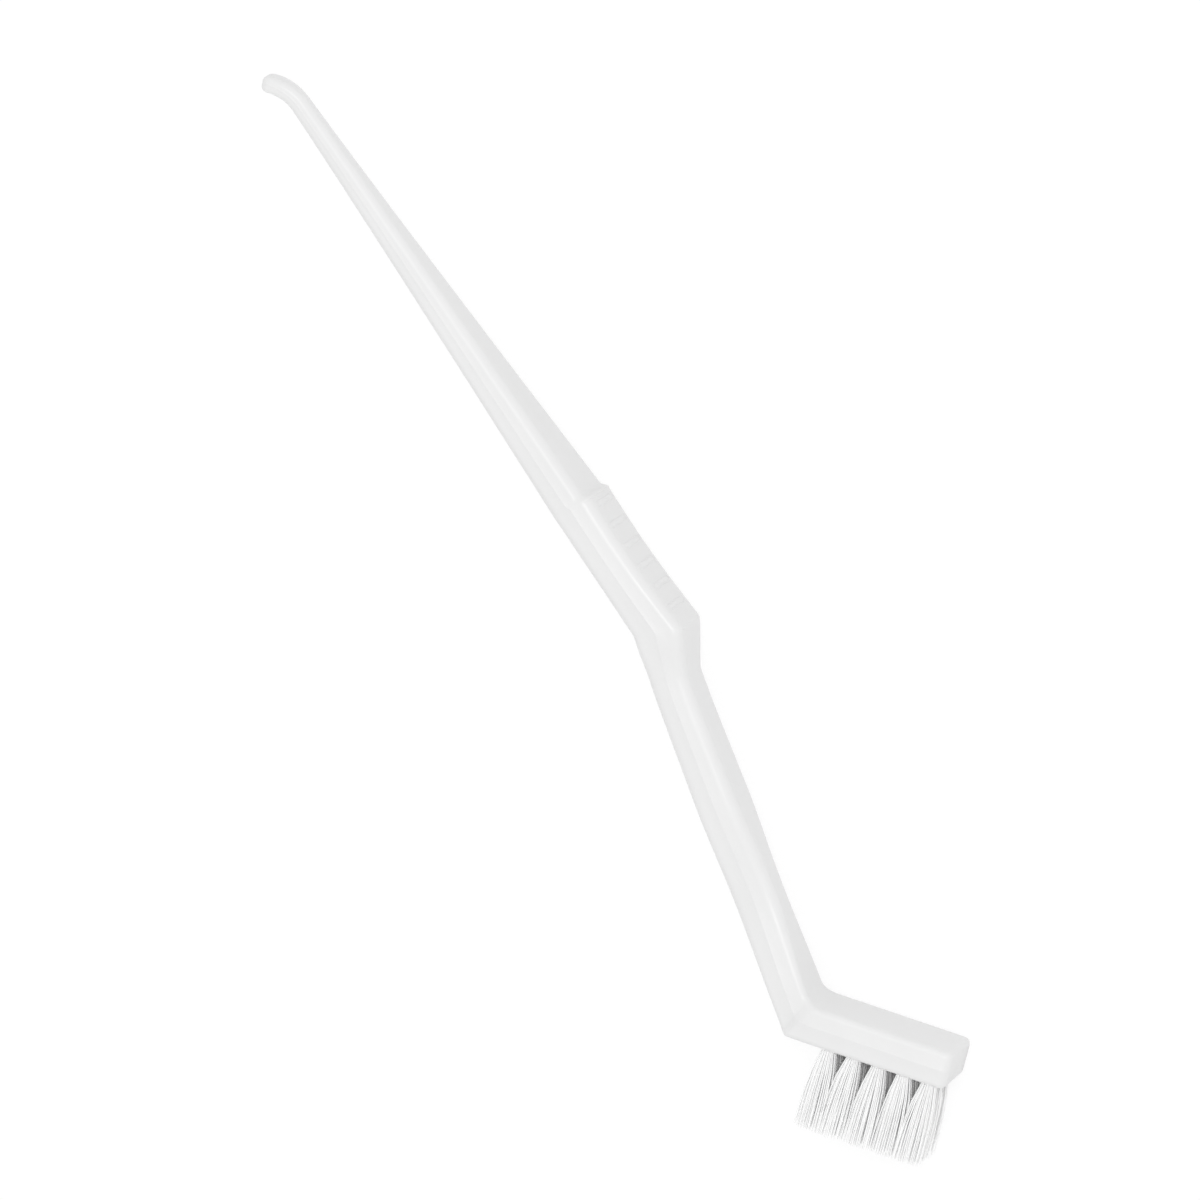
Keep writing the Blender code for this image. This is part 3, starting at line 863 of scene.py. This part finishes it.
def milky_nylon():
    """White filament, a little brighter and smoother toward some strands."""
    material, shader, sheet, place = new_material("milky_nylon")
    tone = noise(sheet, place, NYLON_SCALE, NYLON_DETAIL)
    dark, pale = NYLON_TONES
    sheet.connect(shader.inputs["Base Color"], tint(sheet, tone, grey(dark), grey(pale)))
    sheet.connect(shader.inputs["Roughness"], between(sheet, tone, *NYLON_ROUGHNESS))
    shader.inputs["IOR"].default_value = NYLON_IOR
    return material


def drawn_wire():
    """Flat wire with fine draw lines along it."""
    material, shader, sheet, place = new_material("drawn_wire")
    lines = noise(sheet, stretched(sheet, place, LINE_STRETCH), LINE_SCALE, LINE_DETAIL)
    sheet.connect(shader.inputs["Base Color"], tint(sheet, lines, WIRE_DARK, WIRE_PALE))
    sheet.connect(shader.inputs["Roughness"], between(sheet, lines, *WIRE_ROUGHNESS))
    sheet.connect(shader.inputs["Normal"], relief(sheet, lines, LINE_STRENGTH, LINE_RELIEF))
    shader.inputs["Metallic"].default_value = 1.0
    return material


def new_object(name, data):
    """Object in the scene, at the origin."""
    item = bpy.data.objects.new(name, data)
    bpy.context.scene.collection.objects.link(item)
    return item


def made_mesh(item, name):
    """Replaces an object and its modifiers by a new object with the plain mesh they make."""
    graph = bpy.context.evaluated_depsgraph_get()
    mesh = bpy.data.meshes.new_from_object(item.evaluated_get(graph), depsgraph=graph)
    mesh.name = name
    source = item.data
    bpy.data.objects.remove(item)
    bpy.data.meshes.remove(source)
    return new_object(name, mesh)


def settle(piece, node, smooth_angle):
    """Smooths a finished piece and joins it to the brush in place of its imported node."""
    piece.data.shade_smooth()
    piece.data.set_sharp_from_angle(angle=smooth_angle)
    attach(piece, "root")
    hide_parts(node)


def middle_of(node):
    low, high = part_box(node)
    return (low + high) / 2


def label_of(column, row):
    return f"c{column + 1}_r{row + 1}"


def anchor_middle(column, row):
    return middle_of("anchor_" + label_of(column, row))


def tuft_turn():
    """Rotation of the tufts: x along the head, y across it and z out of its bristle face."""
    first = anchor_middle(0, 0)
    lengthwise = (anchor_middle(TUFT_COLUMNS - 1, 0) - first).normalized()
    sideways = (anchor_middle(0, TUFT_ROWS - 1) - first).normalized()
    return Matrix((lengthwise, sideways, lengthwise.cross(sideways))).transposed()


def rib_values(datum, head_width, plastic):
    """Inputs of the thumb ribs, for a handle whose drawing is shifted by the datum."""
    first_rib = RIB_END_MARGIN - GRIP_LENGTH
    last_rib = SHOULDER_LEAD - RIB_END_MARGIN
    return {
        "First Rib": datum.x + first_rib,
        "Rib Pitch": (last_rib - first_rib) / (RIB_COUNT - 1),
        "Rib Count": RIB_COUNT,
        "Rib Radius": RIB_RADIUS,
        "Height": RIB_HEIGHT,
        "Reach": head_width / 2 - RIB_SIDE_MARGIN,
        "End Slope": RIB_END_SLOPE,
        "Middle": datum.z,
        "Least Backward": LEAST_BACKWARD,
        "Material": plastic,
    }


def hole_values(plastic):
    """Inputs of the tuft holes, each over its packed anchor."""
    turn = tuft_turn()
    first = anchor_middle(0, 0)
    last = anchor_middle(TUFT_COLUMNS - 1, TUFT_ROWS - 1)
    diagonal = turn.transposed() @ (last - first)
    return {
        "Columns": TUFT_COLUMNS,
        "Rows": TUFT_ROWS,
        "Field Length": diagonal.x,
        "Field Width": diagonal.y,
        "Field Centre": (first + last) / 2 + turn @ Vector((0, 0, ANCHOR_DEPTH)),
        "Field Turn": turn.to_euler(),
        "Radius": HOLE_RADIUS,
        "Depth": HOLE_DEPTH,
        "Chamfer": HOLE_CHAMFER,
        "Overrun": HOLE_OVERRUN,
        "Sides": HOLE_SIDES,
        "Material": plastic,
    }


def make_handle(plastic):
    """Moulded handle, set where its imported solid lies."""
    low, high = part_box("handle")
    head_width = high.z - low.z
    sections = pick_sections() + shaft_sections(head_width) + grip_sections(head_width)
    skin = loft(sections + neck_sections() + head_sections(head_width))
    corner = Vector([min(vertex.co[axis] for vertex in skin.verts) for axis in range(3)])
    datum = low - corner
    bmesh.ops.translate(skin, verts=skin.verts, vec=datum)
    mesh = bpy.data.meshes.new("handle_skin")
    skin.to_mesh(mesh)
    skin.free()
    blank = new_object("handle_blank", mesh)
    thumb_rib_tree().apply_to(blank, rib_values(datum, head_width, plastic))
    tuft_hole_tree().apply_to(blank, hole_values(plastic))
    handle = made_mesh(blank, "moulded_handle")
    settle(handle, "handle", SMOOTH_ANGLE)


def column_lean(column):
    """How far the tips of a column lean along the head, where the outer columns are held in."""
    lean = (column - (TUFT_COLUMNS - 1) / 2) * COLUMN_FAN
    if column == 0:
        return lean + OUTER_LEAN
    if column == TUFT_COLUMNS - 1:
        return lean - OUTER_LEAN
    return lean


def tuft_values(column, row, nylon):
    """Inputs of the tuft in a column and row."""
    spread = (TIP_HALF_LENGTH / BUNDLE_RADIUS - 1, TIP_HALF_WIDTH / BUNDLE_RADIUS - 1, 0.0)
    row_lean = (row - (TUFT_ROWS - 1) / 2) * ROW_FAN
    return {
        "Folded Filaments": FOLDED_FILAMENTS,
        "Points": FILAMENT_POINTS,
        "Sides": FILAMENT_SIDES,
        "Diameter": FILAMENT_DIAMETER,
        "Bundle Radius": BUNDLE_RADIUS,
        "Anchor Clearance": ANCHOR_CLEARANCE,
        "Free Length": FREE_LENGTH,
        "Length Scatter": LENGTH_SCATTER,
        "Fold Level": FOLD_LEVEL,
        "Fold Thickness": FOLD_THICKNESS,
        "Tip Spread": spread,
        "Flare Power": FLARE_POWER,
        "Lean": (column_lean(column), row_lean, 0.0),
        "Stray": STRAY,
        "Seed": FIRST_SEED + column * TUFT_ROWS + row,
        "Material": nylon,
    }


def make_tufts(nylon):
    """Every tuft, folded round its anchor."""
    sheet = tuft_tree()
    turn = tuft_turn()
    for column in range(TUFT_COLUMNS):
        for row in range(TUFT_ROWS):
            label = label_of(column, row)
            blank = new_object("tuft_blank", bpy.data.meshes.new("tuft_blank"))
            sheet.apply_to(blank, tuft_values(column, row, nylon))
            tuft = made_mesh(blank, "filaments_" + label)
            mouth = anchor_middle(column, row) + turn @ Vector((0, 0, ANCHOR_DEPTH))
            tuft.data.transform(Matrix.Translation(mouth) @ turn.to_4x4())
            settle(tuft, "tuft_" + label, FILAMENT_SMOOTH_ANGLE)


def dress_anchors(wire):
    """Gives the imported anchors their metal."""
    for name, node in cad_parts.items():
        if name.startswith("anchor_"):
            node.material_slots[0].material = wire


def seen_directly(sheet):
    """1 for what the camera sees, directly, mirrored or through glass."""
    path = sheet.add("ShaderNodeLightPath", {}).outputs
    seen = sheet.at_least(path["Is Camera Ray"], path["Is Glossy Ray"])
    return sheet.at_least(seen, path["Is Transmission Ray"])


def white_paper():
    """Pale paper that shows white and keeps the shadow of the brush."""
    material = bpy.data.materials.new("white_paper")
    material.use_nodes = True
    material.node_tree.nodes.clear()
    sheet = NodeSheet(material.node_tree)
    paper = sheet.add("ShaderNodeBsdfDiffuse", {"Color": grey(FLOOR_GREY)})
    shown = sheet.add("ShaderNodeBsdfDiffuse", {"Color": grey(SHOWN_FLOOR_GREY)})
    glow = sheet.add("ShaderNodeEmission", {"Strength": FLOOR_GLOW})
    lit = sheet.add("ShaderNodeAddShader", {0: shown.outputs[0], 1: glow.outputs[0]})
    inputs = {0: seen_directly(sheet), 1: paper.outputs[0], 2: lit.outputs[0]}
    choice = sheet.add("ShaderNodeMixShader", inputs)
    sheet.add("ShaderNodeOutputMaterial", {"Surface": choice.outputs[0]})
    return material


def make_floor():
    """Wide sheet of paper just under the brush."""
    shape = bmesh.new()
    bmesh.ops.create_grid(shape, x_segments=1, y_segments=1, size=FLOOR_SIZE / 2)
    mesh = bpy.data.meshes.new("studio_floor")
    shape.to_mesh(mesh)
    shape.free()
    floor = new_object("studio_floor", mesh)
    floor.location.z = -FLOOR_DROP
    floor.data.materials.append(white_paper())


def make_sky():
    """Even white surroundings, a little weaker as a light than as a backdrop."""
    world = bpy.data.worlds.new("white_studio")
    world.use_nodes = True
    world.node_tree.nodes.clear()
    sheet = NodeSheet(world.node_tree)
    strength = sheet.add(
        "ShaderNodeMapRange",
        {"Value": seen_directly(sheet), "To Min": SKY_STRENGTH, "To Max": BACKDROP_STRENGTH},
    )
    inputs = {"Color": grey(1.0), "Strength": strength.outputs["Result"]}
    background = sheet.add("ShaderNodeBackground", inputs)
    sheet.add("ShaderNodeOutputWorld", {"Surface": background.outputs[0]})
    bpy.context.scene.world = world


def make_key_light():
    """Soft box in line with the camera, whose light reaches into the gaps between the tufts."""
    light = bpy.data.lights.new("soft_box", "AREA")
    light.shape = "SQUARE"
    light.size = KEY_SIZE
    light.energy = KEY_POWER
    lamp = new_object("soft_box", light)
    direction = KEY_DIRECTION.normalized()
    lamp.location = CAMERA_AIM + direction * KEY_DISTANCE
    lamp.rotation_euler = direction.to_track_quat("Z", "Y").to_euler()


def make_camera():
    """Long lens at the angle of the photograph."""
    lens = bpy.data.cameras.new("photo_camera")
    lens.sensor_width = SENSOR_WIDTH
    lens.lens = SENSOR_WIDTH * CAMERA_DISTANCE / VIEW_WIDTH
    lens.clip_start = CAMERA_DISTANCE / CLIP_FACTOR
    lens.clip_end = CAMERA_DISTANCE * CLIP_FACTOR
    camera = new_object("photo_camera", lens)
    turn = Matrix.Rotation(-CAMERA_LEAN, 4, "X") @ Matrix.Rotation(CAMERA_TURN, 4, "Z")
    setback = Matrix.Translation((0, 0, CAMERA_DISTANCE))
    camera.matrix_world = Matrix.Translation(CAMERA_AIM) @ turn @ setback
    bpy.context.scene.camera = camera


make_camera()
make_handle(moulded_plastic())
make_tufts(milky_nylon())
dress_anchors(drawn_wire())
make_floor()
make_sky()
make_key_light()
bpy.context.scene.view_settings.view_transform = "Standard"
# Light passes between white filaments many times before it reaches the gaps between the tufts
bpy.context.scene.cycles.diffuse_bounces = DIFFUSE_BOUNCES
